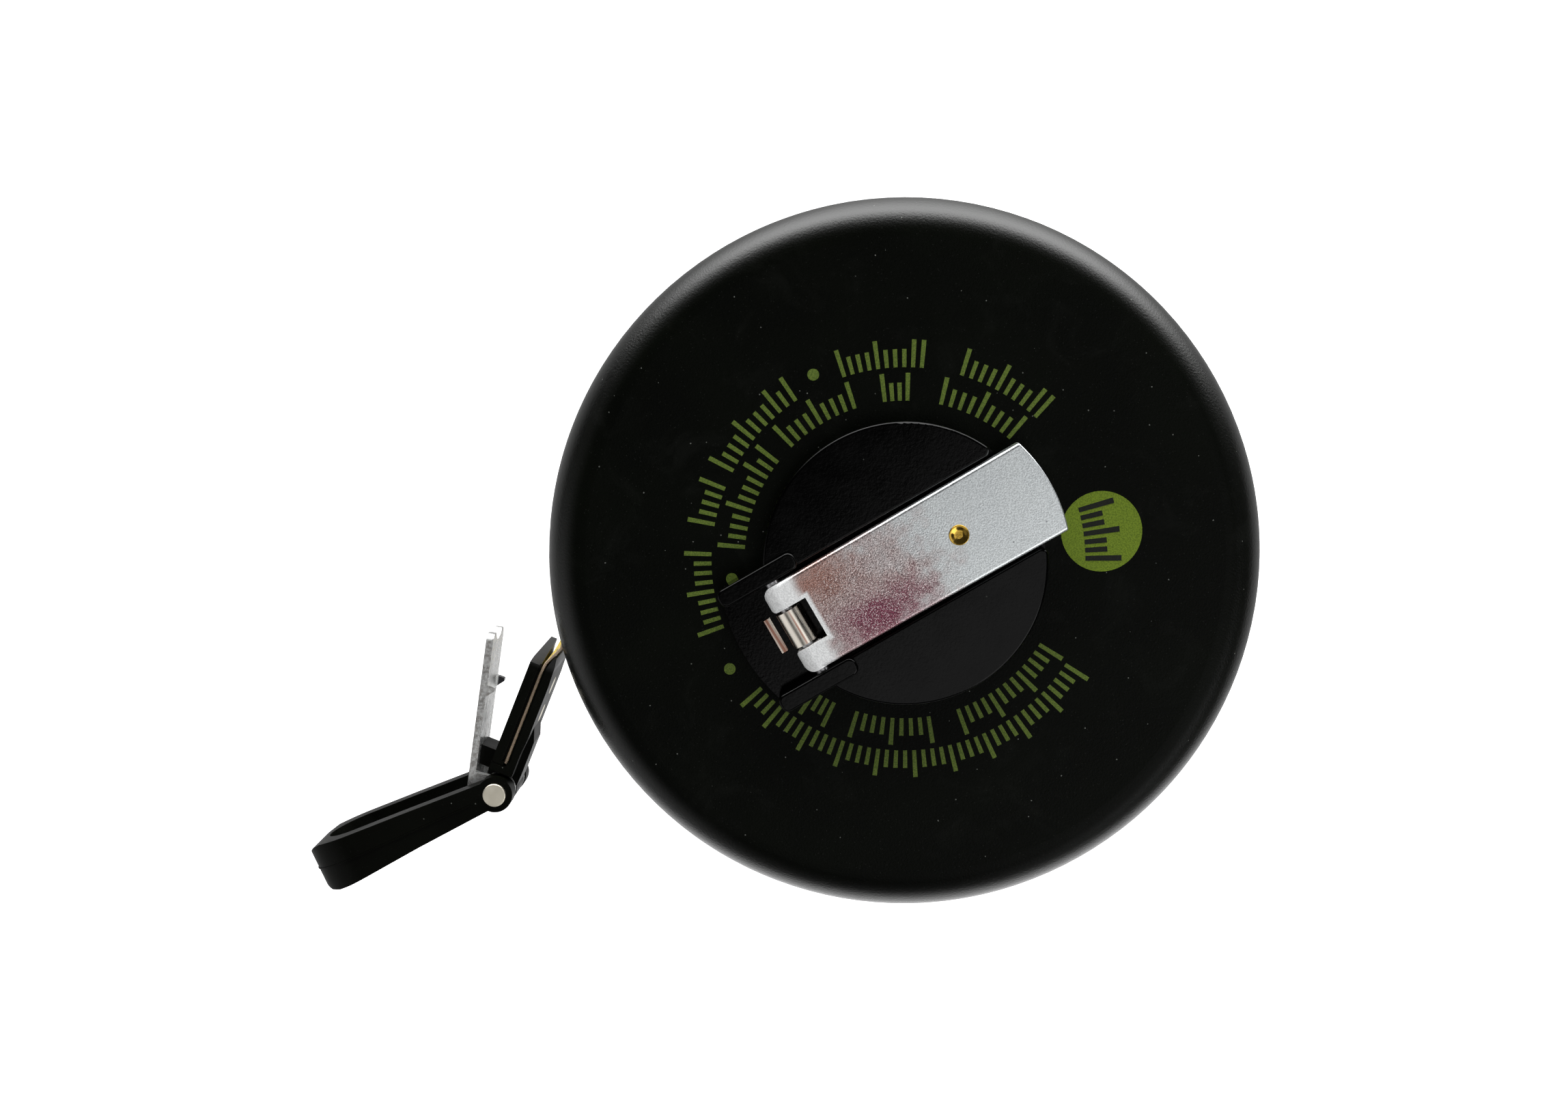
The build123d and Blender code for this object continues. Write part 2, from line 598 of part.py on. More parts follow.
def clamp_right():
    """Inner half of the tape clamp, with the hinge lug and its heel."""
    inner = TAPE_LINE_X + CLAMP_GRIP
    outline = [(inner, -51.7), (inner, -36.6), (-42.7, -34.2), (-42.45, -33.6), (-42.1, -33.5),
               (-41.85, -35.0), (CLAMP_RIGHT_X, -38.0), (CLAMP_RIGHT_X, -46.5), (-41.9, -49.0),
               (-41.9, -52.9), (CLAMP_LEFT_X, -52.9), (CLAMP_LEFT_X, -51.7)]
    half = prism(outline, CLAMP_Z0, CLAMP_Z1)
    lug = [(END_X - LUG_R, END_Y), (END_X - LUG_R, -52.5), (-42.0, -52.5), (-42.0, -45.3),
           (CLAMP_RIGHT_X, -45.3), (HEEL_X, -47.6), (HEEL_X, -52.9), (HEEL_X - 0.2, -58.0),
           (END_X + 1.3, END_Y - LUG_R + 0.05), (END_X, END_Y - LUG_R + 0.02)]
    half += prism(lug, LUG_Z0, LUG_Z1) + disc(LUG_R, LUG_Z0, LUG_Z1, END_X, END_Y)
    half -= disc(END_PIN_R + 0.01, LUG_Z0 - 1, LUG_Z1 + 1, END_X, END_Y)
    half -= tape_relief()
    half -= clamp_rivet_holes(CLAMP_RIVET_R + 0.02)
    return half - head_recess(CLAMP_RIGHT_X - CLAMP_HEAD_H - 0.03, CLAMP_RIGHT_X + 1)


def clamp_rivets():
    """Two rivets that squeeze the clamp's halves on the tape."""
    rivets = []
    for y in CLAMP_RIVET_YS:
        length = CLAMP_RIGHT_X - CLAMP_LEFT_X
        centre = Pos((CLAMP_RIGHT_X + CLAMP_LEFT_X) / 2, y, PART_Z) * Rot(0, 90, 0)
        head_at = (length - CLAMP_HEAD_H) / 2
        rivet = centre * Cylinder(CLAMP_RIVET_R, length - 0.1)
        for side in (-1, 1):
            rivet += centre * Pos(0, 0, side * head_at) * Cylinder(CLAMP_HEAD_R, CLAMP_HEAD_H)
        rivets.append(rivet)
    return Compound(rivets)


def end_pin():
    """Rivet that the ring and the claw swing on."""
    pin = disc(END_PIN_R, RING_Z0 - 0.1, RING_Z1 + 0.1, END_X, END_Y)
    top = disc(END_HEAD_R, RING_Z1 + 0.03, RING_Z1 + END_HEAD_H, END_X, END_Y)
    top = fillet(top_edges(top, RING_Z1 + END_HEAD_H), 0.18)
    bottom = disc(END_HEAD_R, RING_Z0 - END_HEAD_H, RING_Z0 - 0.03, END_X, END_Y)
    return pin + top + bottom


def ring_profile():
    """Side outline of the ring, thin at the pin, thick at its far bar, drafted at its end."""
    end = RING_REACH
    low_side = [(0, 1.7), (14, 2.65), (26, 3.75), (end - 3.2, 3.85), (end - 1.6, 3.6)]
    high_side = [(end - 1.6, -3.4), (end - 3.2, -3.7), (26, -3.6), (15, -3.1), (0, -2.3)]
    drafted = [(end - RING_DRAFT, 2.9), (end, 0), (end - RING_DRAFT, -2.9)]
    face = make_face(Polyline(*low_side, *drafted, *high_side, close=True))
    corners = [v for v in face.vertices() if v.X > end - 2 and abs(v.Y) > 1]
    return fillet(corners, RING_ROUND) + Circle(RING_BOSS_R)


def ring_loop(grow, v0, v1):
    """Loop seen from its side: a round-ended slab with a round-ended hole, both grown into plastic."""
    z0, z1 = RING_Z0 - grow, RING_Z1 + grow
    slab = block(-5, RING_REACH + grow, v0, v1, z0, z1)
    ends = [e for e in slab.edges().filter_by(Axis.Y) if e.center().X > 0]
    slab = fillet(ends, (z1 - z0) / 2 - 0.05)
    z0, z1 = RING_Z0 + RING_ARM + grow, RING_Z1 - RING_ARM - grow
    hole = block(-6, RING_REACH - RING_BAR - grow, v0 - 1, v1 + 1, z0, z1)
    ends = [e for e in hole.edges().filter_by(Axis.Y) if e.center().X > 0]
    return slab - fillet(ends, (z1 - z0) / 2 - 0.05)


def end_ring():
    """Plastic loop on the tape's end, with the thin flash of its mould's parting line."""
    body = extrude(Pos(0, 0, RING_Z0) * ring_profile(), amount=RING_Z1 - RING_Z0, dir=(0, 0, 1))
    body &= ring_loop(0, -9, 9)
    flash = ring_loop(RING_FLASH, -0.09, 0.09)
    flash -= block(-7, RING_FLASH_FROM, -1, 1, RING_Z0 - 1, RING_Z1 + 1)
    body += flash
    body -= disc(END_PIN_R + RUN_GAP, RING_Z0 - 1, RING_Z1 + 1)
    return Pos(END_X, END_Y, 0) * Rot(0, 0, RING_DEG) * body


def claw_plate():
    """Flat blade of the claw along +X, standing off the pin on the +Y side, with a forked tip."""
    face_y = CLAW_OFFSET - CLAW_T / 2
    blade = block(CLAW_FOOT, CLAW_TIP, face_y, face_y + CLAW_T, CLAW_Z0, CLAW_Z1)
    mid_z = (CLAW_Z0 + CLAW_Z1) / 2
    notch_at = Pos(CLAW_TIP + CLAW_NOTCH_R - CLAW_NOTCH_DEEP, CLAW_OFFSET, mid_z)
    blade -= notch_at * Rot(90, 0, 0) * Cylinder(CLAW_NOTCH_R, CLAW_T + 1)
    corners = [e for e in blade.edges().filter_by(Axis.Y) if abs(e.center().X - CLAW_TIP) < 0.01]
    outer = [e for e in corners if abs(e.center().Z - mid_z) > 4]
    blade = fillet(outer, 1.5)
    for z in CLAW_LINE_ZS:
        blade -= block(6, 11, face_y - 1, face_y + 0.15, z - 0.15, z + 0.15)
    return blade


def claw_ear(z0):
    """Ear of the claw between the blade and the pin."""
    outline = [(CLAW_FOOT, CLAW_OFFSET), (CLAW_SHOULDER, CLAW_OFFSET), (CLAW_SHOULDER - 0.3, 2.6),
               (1.9, 1.6), (0, -CLAW_EAR_R + 0.02), (-2.2, 1.0)]
    return prism(outline, z0, z0 + CLAW_EAR_T) + disc(CLAW_EAR_R, z0, z0 + CLAW_EAR_T)


def claw_barb(z0):
    """Tooth raised from the blade's edge towards the clamp, with a blunt crown."""
    foot_y = CLAW_OFFSET - CLAW_T / 2 + 0.2
    crown_y = CLAW_OFFSET - CLAW_T / 2 - CLAW_BARB_H
    points = [(CLAW_BARB_AT - 1.1, foot_y), (CLAW_BARB_AT + 0.9, foot_y),
              (CLAW_BARB_AT + 0.6, crown_y), (CLAW_BARB_AT + 0.1, crown_y)]
    return prism(points, z0, z0 + CLAW_BARB_W)


def end_claw():
    """Folding claw that hooks over an edge."""
    claw = claw_plate() + claw_ear(CLAW_Z0) + claw_ear(CLAW_Z1 - CLAW_EAR_T)
    claw += claw_barb(CLAW_Z0) + claw_barb(CLAW_Z1 - CLAW_BARB_W)
    claw -= disc(END_PIN_R + RUN_GAP, CLAW_Z0 - 1, CLAW_Z1 + 1)
    return Pos(END_X, END_Y, 0) * Rot(0, 0, CLAW_DEG) * claw


NODES = [front_shell, back_shell, mouth_guide, case_screws, spindle, thrust_washer,
         spindle_circlip, reel_drum, reel_screws, tape_roll, tape_anchor, tape_lead,
         winding_hub, crank_arm, crank_hinge_pin, hinge_strap, crank_knob, knob_rivet,
         knob_washer, clamp_left, clamp_right, clamp_rivets, end_pin, end_ring, end_claw]

os.makedirs("parts", exist_ok=True)
for make in NODES:
    export_step(make(), f"parts/{make.__name__}.step")
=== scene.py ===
"""Looks of a closed-reel tape measure: materials, tape, print, light and camera around the CAD frame."""

import json
from math import atan2, ceil, cos, pi, radians, sin, tan

import bmesh
import bpy
from mathutils import Matrix, Vector

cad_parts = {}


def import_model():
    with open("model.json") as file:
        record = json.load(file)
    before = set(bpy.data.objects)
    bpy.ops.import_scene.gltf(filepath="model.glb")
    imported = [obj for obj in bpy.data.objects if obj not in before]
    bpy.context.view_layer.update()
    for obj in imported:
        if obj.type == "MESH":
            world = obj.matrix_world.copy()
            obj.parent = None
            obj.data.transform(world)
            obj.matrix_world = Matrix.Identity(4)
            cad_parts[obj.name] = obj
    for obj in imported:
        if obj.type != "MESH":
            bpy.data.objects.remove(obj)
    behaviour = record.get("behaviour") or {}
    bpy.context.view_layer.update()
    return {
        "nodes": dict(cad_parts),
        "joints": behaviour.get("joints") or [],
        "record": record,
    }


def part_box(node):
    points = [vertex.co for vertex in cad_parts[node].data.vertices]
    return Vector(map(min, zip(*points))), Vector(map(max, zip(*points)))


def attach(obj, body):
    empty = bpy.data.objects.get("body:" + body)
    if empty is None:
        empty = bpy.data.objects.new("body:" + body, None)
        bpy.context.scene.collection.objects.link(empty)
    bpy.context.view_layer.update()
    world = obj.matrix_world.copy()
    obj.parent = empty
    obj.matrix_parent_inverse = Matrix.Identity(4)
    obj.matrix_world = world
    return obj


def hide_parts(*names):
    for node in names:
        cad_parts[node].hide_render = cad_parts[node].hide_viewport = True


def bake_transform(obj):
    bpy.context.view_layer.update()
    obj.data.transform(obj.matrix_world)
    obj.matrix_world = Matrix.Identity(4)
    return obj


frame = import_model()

MM = 0.001
Y_AXIS = (0.0, 1.0, 0.0)
Z_AXIS = (0.0, 0.0, 1.0)

# Case
FACE_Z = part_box("front_shell")[1].z
CASE_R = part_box("front_shell")[1].x

# Crank, with the places on its arm measured from the case's axis
CRANK_ANGLE = radians(52.0)
ARM_ALONG = Vector((cos(CRANK_ANGLE), sin(CRANK_ANGLE), 0.0))
ARM_ACROSS = Vector((-sin(CRANK_ANGLE), cos(CRANK_ANGLE), 0.0))
SLOT_END_U = -14.67 * MM
SLOT_HALF = 3.2 * MM
PRONG_U0 = -14.2 * MM
PRONG_U1 = -16.0 * MM
RIVET_AT = ARM_ALONG * 8.73 * MM

# Claw, whose inner face lies at CLAW_FACE along its normal
CLAW_NORMAL = Vector((cos(radians(13.5)), sin(radians(13.5)), 0.0))
CLAW_FACE = -58.83 * MM
CLAW_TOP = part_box("end_claw")[1].z

# Tape between the case and the clamp
TAPE_LOW, TAPE_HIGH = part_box("tape_lead")
TAPE_WIDTH = TAPE_HIGH.z - TAPE_LOW.z
TAPE_MID_Z = (TAPE_HIGH.z + TAPE_LOW.z) / 2
TAPE_THICK = 0.45 * MM
TAPE_EDGE_ROUND = 0.08 * MM
TAPE_BEND_R = 12 * MM
TAPE_ROUTE = [Vector((x, y)) * MM for x, y in
              ((-43.55, -0.5), (-42.45, -31.0), (-43.55, -35.6), (-43.55, -51.4))]
TAPE_STEP = 0.09 * MM
TAPE_LEAN = 0.62 * MM
LEAN_AT = -31.8 * MM
LEAN_REACH = 3.0 * MM
STRETCH_FROM = -1.0 * MM
STRETCH_TO = -29.0 * MM
PULL_LENGTH = max(j["range_m"][1] for j in frame["joints"] if j["name"] == "tape_pull")

# Printed ticks on the tape: pitch, length and width of each kind, in mm
TAPE_TICKS = ((1, 1.7, 0.22), (5, 3.0, 0.26), (10, 4.6, 0.34), (100, 13.0, 0.9))

# Print on the face: spans and dots in degrees
PRINT_BOTTOM = FACE_Z - 0.02 * MM
PRINT_TOP = FACE_Z + 0.05 * MM
PRINT_STEP = radians(1.5)
OUTER_R = 30.0 * MM
INNER_R = 25.2 * MM
OUTER_SPANS = ((222, 200), (191, 180), (174, 146), (130, 107), (95, 70), (349, 244))
INNER_SPANS = ((197, 164), (156, 130), (119, 111), (99, 72), (350, 312), (301, 275), (266, 258))
OUTER_DOTS = (138, 234)
INNER_DOTS = (208,)
DOT_R = 0.85 * MM
TICK_WIDTH = 0.62 * MM
TICK_PITCH = 1.4 * MM
TICK_LOW = 2.0 * MM
TICK_TALL = 2.0 * MM
TICK_SHORT = 0.6 * MM

# Badge
BADGE_AT = Vector((24.84, 14.64)) * MM
BADGE_R = 5.85 * MM
BADGE_TICK_TOP = PRINT_TOP + 0.03 * MM
BADGE_TICK_WIDTH = 0.75 * MM
BADGE_TICK_PITCH = 1.3 * MM
BADGE_TICK_LOW = 2.6 * MM
BADGE_TICK_TALL = 2.6 * MM
BADGE_TICK_SHORT = 0.6 * MM

# Camera, in a frame turned with the view, where X is to the right and Y is up
VIEW_TURN = radians(21.8)
CAMERA_PLACE = Vector((-10.581, 32.985, 316.833)) * MM
CAMERA_YAW = 0.023533
CAMERA_PITCH = -0.108831
CAMERA_LENS = 46.38
CAMERA_SENSOR = 36.0


def in_view(across, up, height):
    """A vector given in the view's own turn, in the row frame."""
    return Matrix.Rotation(VIEW_TURN, 3, "Z") @ Vector((across, up, height))


# ---------------------------------------------------------------- nodes


class Nodes:
    """Short calls for the nodes of one tree, all worked out from one place socket."""

    def __init__(self, tree, coordinates):
        self.tree = tree
        self.place = self.add("ShaderNodeTexCoord").outputs[coordinates]

    def add(self, kind, **settings):
        node = self.tree.nodes.new(kind)
        for name, value in settings.items():
            setattr(node, name, value)
        return node

    def feed(self, node, socket, value):
        """Links a socket to a socket, or sets its own value."""
        target = node.inputs[socket]
        if isinstance(value, bpy.types.NodeSocket):
            self.tree.links.new(value, target)
        elif target.type == "RGBA" and len(value) == 3:
            target.default_value = (*value, 1.0)
        else:
            target.default_value = value

    def math(self, operation, *values):
        node = self.add("ShaderNodeMath", operation=operation)
        for index, value in enumerate(values):
            self.feed(node, index, value)
        return node.outputs[0]

    def vector(self, operation, *values):
        """A vector calculation: a number from DOT_PRODUCT and LENGTH, a vector from the others."""
        node = self.add("ShaderNodeVectorMath", operation=operation)
        for index, value in enumerate(values):
            self.feed(node, index, value)
        return node.outputs["Value" if operation in ("DOT_PRODUCT", "LENGTH") else "Vector"]

    def scaled(self, value, factor):
        """A vector or colour times a number."""
        node = self.add("ShaderNodeVectorMath", operation="SCALE")
        self.feed(node, 0, value)
        self.feed(node, "Scale", factor)
        return node.outputs["Vector"]

    def between(self, value, low, high, start=0.0, stop=1.0):
        """Maps low..high to start..stop smoothly and holds it beyond."""
        node = self.add("ShaderNodeMapRange", interpolation_type="SMOOTHSTEP")
        for socket, number in (("Value", value), ("From Min", low), ("From Max", high),
                               ("To Min", start), ("To Max", stop)):
            self.feed(node, socket, number)
        return node.outputs["Result"]

    def along(self, direction):
        """How far a point lies along a direction."""
        return self.vector("DOT_PRODUCT", self.place, direction)


class Surface(Nodes):
    """A material with its principled shader. Sizes are in metres."""

    def __init__(self, name, **sockets):
        self.material = bpy.data.materials.new(name)
        self.material.use_nodes = True
        super().__init__(self.material.node_tree, "Object")
        self.shader = self.tree.nodes["Principled BSDF"]
        self.normal = None
        for socket, value in sockets.items():
            self.set(socket.replace("_", " "), value)

    def set(self, socket, value):
        self.feed(self.shader, socket, value)

    def mix(self, amount, first, second):
        """Mixes two colours."""
        node = self.add("ShaderNodeMix", data_type="RGBA")
        self.feed(node, 0, amount)
        self.feed(node, 6, first)
        self.feed(node, 7, second)
        return node.outputs[2]

    def noise(self, size, detail=3.0, rough=0.5, place=None, warp=0.0):
        """Noise from 0 to 1 with features of about that size."""
        node = self.add("ShaderNodeTexNoise")
        self.feed(node, "Vector", place or self.place)
        self.feed(node, "Scale", 1 / size)
        self.feed(node, "Detail", detail)
        self.feed(node, "Roughness", rough)
        self.feed(node, "Distortion", warp)
        return node.outputs["Fac"]

    def specks(self, spacing, radius, share):
        """1 on scattered round specks, 0 elsewhere."""
        cells = self.add("ShaderNodeTexVoronoi")
        self.feed(cells, "Vector", self.place)
        self.feed(cells, "Scale", 1 / spacing)
        near = self.math("LESS_THAN", cells.outputs["Distance"], radius / spacing)
        picked = self.math("LESS_THAN", cells.outputs["Color"], share)
        return self.math("MULTIPLY", near, picked)

    def from_axis(self, centre=(0.0, 0.0, 0.0)):
        """How far a point lies from the upright axis through a centre."""
        arm = self.vector("SUBTRACT", self.place, centre)
        return self.vector("LENGTH", self.vector("MULTIPLY", arm, (1.0, 1.0, 0.0)))

    def stretched(self, direction, squeeze):
        """The place with its part along a direction made small, for streaks along it."""
        part = self.scaled(direction, self.math("MULTIPLY", self.along(direction), 1 - squeeze))
        return self.vector("SUBTRACT", self.place, part)

    def bump(self, height, depth):
        """Raises the surface by height times depth, on top of earlier bumps."""
        node = self.add("ShaderNodeBump")
        self.feed(node, "Height", height)
        self.feed(node, "Distance", depth)
        if self.normal:
            self.feed(node, "Normal", self.normal)
        self.normal = node.outputs["Normal"]
        self.set("Normal", self.normal)


# ---------------------------------------------------------------- plastics


def moulded_black(name, tone, grain_size, grain_depth, dusty):
    """Black moulded plastic with spark-eroded grain and faint dust."""
    s = Surface(name)
    cloud = s.between(s.noise(14 * MM, 4.0), 0.35, 0.7)
    body = s.mix(cloud, tone, tuple(1.6 * c for c in tone))
    dust = s.math("MAXIMUM", s.specks(1.3 * MM, 0.1 * MM, 0.25),
                  s.math("MULTIPLY", s.specks(0.5 * MM, 0.06 * MM, 0.5), 0.1))
    smear = s.between(s.noise(9 * MM, 6.0, 0.65, warp=0.8), 0.52, 0.75)
    film = s.math("MULTIPLY", smear, 0.02 * dusty)
    dirt = s.math("MAXIMUM", s.math("MULTIPLY", dust, dusty), film)
    s.set("Base Color", s.mix(dirt, body, (0.42, 0.44, 0.4)))
    s.bump(s.noise(grain_size, 3.0, 0.6), grain_depth)
    return s


def sheen(s, gloss, rough):
    """Gives a surface its gloss and a slightly uneven roughness."""
    s.set("Specular IOR Level", gloss)
    s.set("Roughness", s.between(s.noise(5 * MM, 5.0, 0.6), 0.3, 0.75, rough - 0.04, rough + 0.05))


def case_plastic():
    """The case's plastic, rubbed smoother and glossier round the rim of its face."""
    s = moulded_black("case_plastic", (0.001, 0.0014, 0.0007), 0.3 * MM, 0.05 * MM, 0.3)
    high = s.between(s.along(Z_AXIS), FACE_Z - 9 * MM, FACE_Z - 4 * MM)
    outer = s.between(s.from_axis(), 0.91 * CASE_R, 0.97 * CASE_R)
    rubbed = s.math("MULTIPLY", high, outer)
    s.set("Specular IOR Level", s.math("MULTIPLY_ADD", rubbed, 0.4, 0.06))
    s.set("Roughness", s.math("MULTIPLY_ADD", rubbed, -0.14, 0.4))
    return s.material


def hub_plastic():
    s = moulded_black("hub_plastic", (0.0002, 0.0002, 0.0002), 0.5 * MM, 0.012 * MM, 0.12)
    sheen(s, 0.14, 0.12)
    return s.material


def knob_plastic():
    s = moulded_black("knob_plastic", (0.006, 0.006, 0.006), 0.3 * MM, 0.006 * MM, 0.2)
    sheen(s, 0.3, 0.35)
    return s.material


def fitting_plastic():
    """The end fitting's plastic, burnished where the clamp's end rubs against the case."""
    s = moulded_black("fitting_plastic", (0.0014, 0.0016, 0.001), 0.6 * MM, 0.01 * MM, 0.2)
    burnished = s.between(s.along(Y_AXIS), -36.0 * MM, -34.8 * MM)
    sheen(s, s.math("MULTIPLY_ADD", burnished, 0.5, 0.05), 0.36)
    return s.material


def drum_plastic():
    """Pale moulded plastic with flow marks."""
    s = Surface("drum_plastic", Subsurface_Weight=0.1, Subsurface_Scale=1 * MM)
    flow = s.noise(8 * MM, 5.0, 0.6, warp=0.6)
    s.set("Base Color", s.mix(flow, (0.42, 0.42, 0.39), (0.56, 0.56, 0.52)))
    s.set("Roughness", s.between(flow, 0.2, 0.8, 0.38, 0.55))
    s.bump(s.noise(0.5 * MM), 0.01 * MM)
    return s.material


def nylon():
    s = Surface("nylon", Subsurface_Weight=0.3, Subsurface_Scale=1 * MM)
    cloud = s.noise(3 * MM, 3.0)
    s.set("Base Color", s.mix(cloud, (0.78, 0.76, 0.7), (0.88, 0.87, 0.82)))
    s.set("Roughness", s.between(cloud, 0.2, 0.8, 0.35, 0.5))
    s.bump(s.noise(0.25 * MM), 0.006 * MM)
    return s.material


# ---------------------------------------------------------------- metals


def plated(name, dark, bright, rough, grain_size, grain_depth):
    """Bare or plated metal: granular, with cloudy colour."""
    s = Surface(name, Metallic=1.0)
    cloud = s.between(s.noise(4 * MM, 5.0, 0.6), 0.3, 0.7)
    fine = s.noise(grain_size, 3.0, 0.6)
    s.set("Base Color", s.mix(s.math("MULTIPLY", cloud, fine), dark, bright))
    s.set("Roughness", s.between(s.noise(2 * MM, 4.0), 0.3, 0.7, rough - 0.06, rough + 0.08))
    s.bump(fine, grain_depth)
    return s


def screw_steel():
    return plated("screw_steel", (0.42, 0.42, 0.43), (0.72, 0.72, 0.74), 0.32, 0.3 * MM, 0.006 * MM).material


def nickel():
    return plated("nickel", (0.88, 0.82, 0.68), (0.97, 0.93, 0.82), 0.44, 0.5 * MM, 0.008 * MM).material


def brass():
    """Polished brass, dished by the tool that closed the rivet."""
    s = plated("brass", (0.4, 0.24, 0.03), (0.9, 0.6, 0.14), 0.14, 1.4 * MM, 0.03 * MM)
    s.bump(s.between(s.from_axis(RIVET_AT), 0.5 * MM, 1.4 * MM), 0.22 * MM)
    return s.material


def spring_steel():
    """Drawn strip with a warm plating, brown streaks and draw lines across its bend."""
    s = Surface("spring_steel", Metallic=1.0)
    drawn = s.stretched(ARM_ACROSS, 0.03)
    lines = s.noise(0.12 * MM, 2.0, place=drawn)
    bands = s.noise(0.9 * MM, 2.0, 0.4, place=drawn)
    s.set("Base Color", s.mix(s.between(bands, 0.4, 0.52), (0.42, 0.2, 0.14), (0.95, 0.88, 0.78)))
    s.set("Roughness", s.between(lines, 0.2, 0.8, 0.14, 0.3))
    s.bump(lines, 0.006 * MM)
    return s.material


def prong_highlight_and_slot_rim(s, u, v):
    """1 on the arm's prongs, where a highlight is painted, and close to its slot, which is painted paler."""
    past_end = s.math("MAXIMUM", s.math("SUBTRACT", u, SLOT_END_U), 0.0)
    past_side = s.math("MAXIMUM", s.math("SUBTRACT", s.math("ABSOLUTE", v), SLOT_HALF), 0.0)
    near_slot = s.between(s.math("MAXIMUM", past_end, past_side), 0.9 * MM, 0.35 * MM)
    return s.math("MAXIMUM", s.between(u, PRONG_U0, PRONG_U1), near_slot)


def passivation(s, u, v, highlight_and_pale_rim):
    """The arm's colours: grey at its free end, brown and violet towards its hinge, with fine sparkle."""
    drift = s.math("MULTIPLY", s.math("SUBTRACT", s.noise(4 * MM, 5.0, 0.65), 0.5), 1.5)

    def patch(at_u, at_v, half_u, half_v, soft):
        """1 in the middle of an uneven oval given in mm, falling to 0 at its edge."""
        du = s.math("DIVIDE", s.math("SUBTRACT", u, at_u * MM), half_u * MM)
        dv = s.math("DIVIDE", s.math("SUBTRACT", v, at_v * MM), half_v * MM)
        away = s.math("SQRT", s.math("ADD", s.math("MULTIPLY", du, du), s.math("MULTIPLY", dv, dv)))
        return s.between(s.math("ADD", away, drift), soft, 1.0, 1.0, 0.0)

    colour = s.mix(s.noise(6 * MM, 4.0), (0.76, 0.8, 0.82), (0.86, 0.9, 0.9))
    rosy = s.mix(patch(-8.0, -1.5, 17.0, 13.0, 0.2), colour, (0.6, 0.45, 0.43))
    brown = s.mix(patch(-12.5, 4.4, 9.0, 5.5, 0.1), rosy, (0.5, 0.27, 0.22))
    violet = s.mix(patch(-6.0, -4.6, 11.0, 6.0, 0.1), brown, (0.28, 0.06, 0.11))
    fine = s.noise(0.16 * MM, 2.0, 0.6)
    tinted = patch(-6.0, -1.0, 15.0, 10.0, 0.4)
    dull = s.math("MULTIPLY", s.between(fine, 0.48, 0.42, 0.0, 0.65), tinted)
    sparkle = s.between(fine, 0.55, 0.6, 0.0, 0.75)
    dulled = s.mix(dull, violet, (0.12, 0.07, 0.08))
    sparkled = s.mix(s.math("MULTIPLY", sparkle, tinted), dulled, (0.97, 0.88, 0.88))
    # Painted highlight: the prongs are painted near white, and so is the rim of the slot.
    highlighted = s.mix(highlight_and_pale_rim, sparkled, (0.92, 0.93, 0.93))
    pits = s.math("MULTIPLY", s.specks(1.6 * MM, 0.13 * MM, 0.5), s.between(u, 11 * MM, 16 * MM))
    return s.mix(s.math("MULTIPLY", pits, 0.7), highlighted, (0.2, 0.2, 0.22))


def zinc_plate():
    """Pressed zinc-plated steel, passivated, with a grain that fades towards its free end."""
    s = Surface("zinc_plate")
    u = s.along(ARM_ALONG)
    v = s.along(ARM_ACROSS)
    grain = s.noise(0.24 * MM, 3.0, 0.6)
    # Painted highlight: the prongs and the slot's rim become a rough, barely metallic near white.
    highlight_and_pale_rim = prong_highlight_and_slot_rim(s, u, v)
    s.set("Base Color", s.scaled(passivation(s, u, v, highlight_and_pale_rim), s.between(grain, 0.35, 0.65, 0.84, 1.1)))
    even = s.between(s.noise(3 * MM, 4.0), 0.3, 0.7, 0.3, 0.36)
    s.set("Roughness", s.math("MULTIPLY_ADD", highlight_and_pale_rim, 0.2, even))
    s.set("Metallic", s.math("MULTIPLY_ADD", highlight_and_pale_rim, -0.75, 1.0))
    depth = s.between(u, 12 * MM, -4 * MM, 0.018 * MM, 0.05 * MM)
    s.bump(grain, s.math("MULTIPLY", depth, s.math("MULTIPLY_ADD", highlight_and_pale_rim, -0.4, 1.0)))
    return s.material


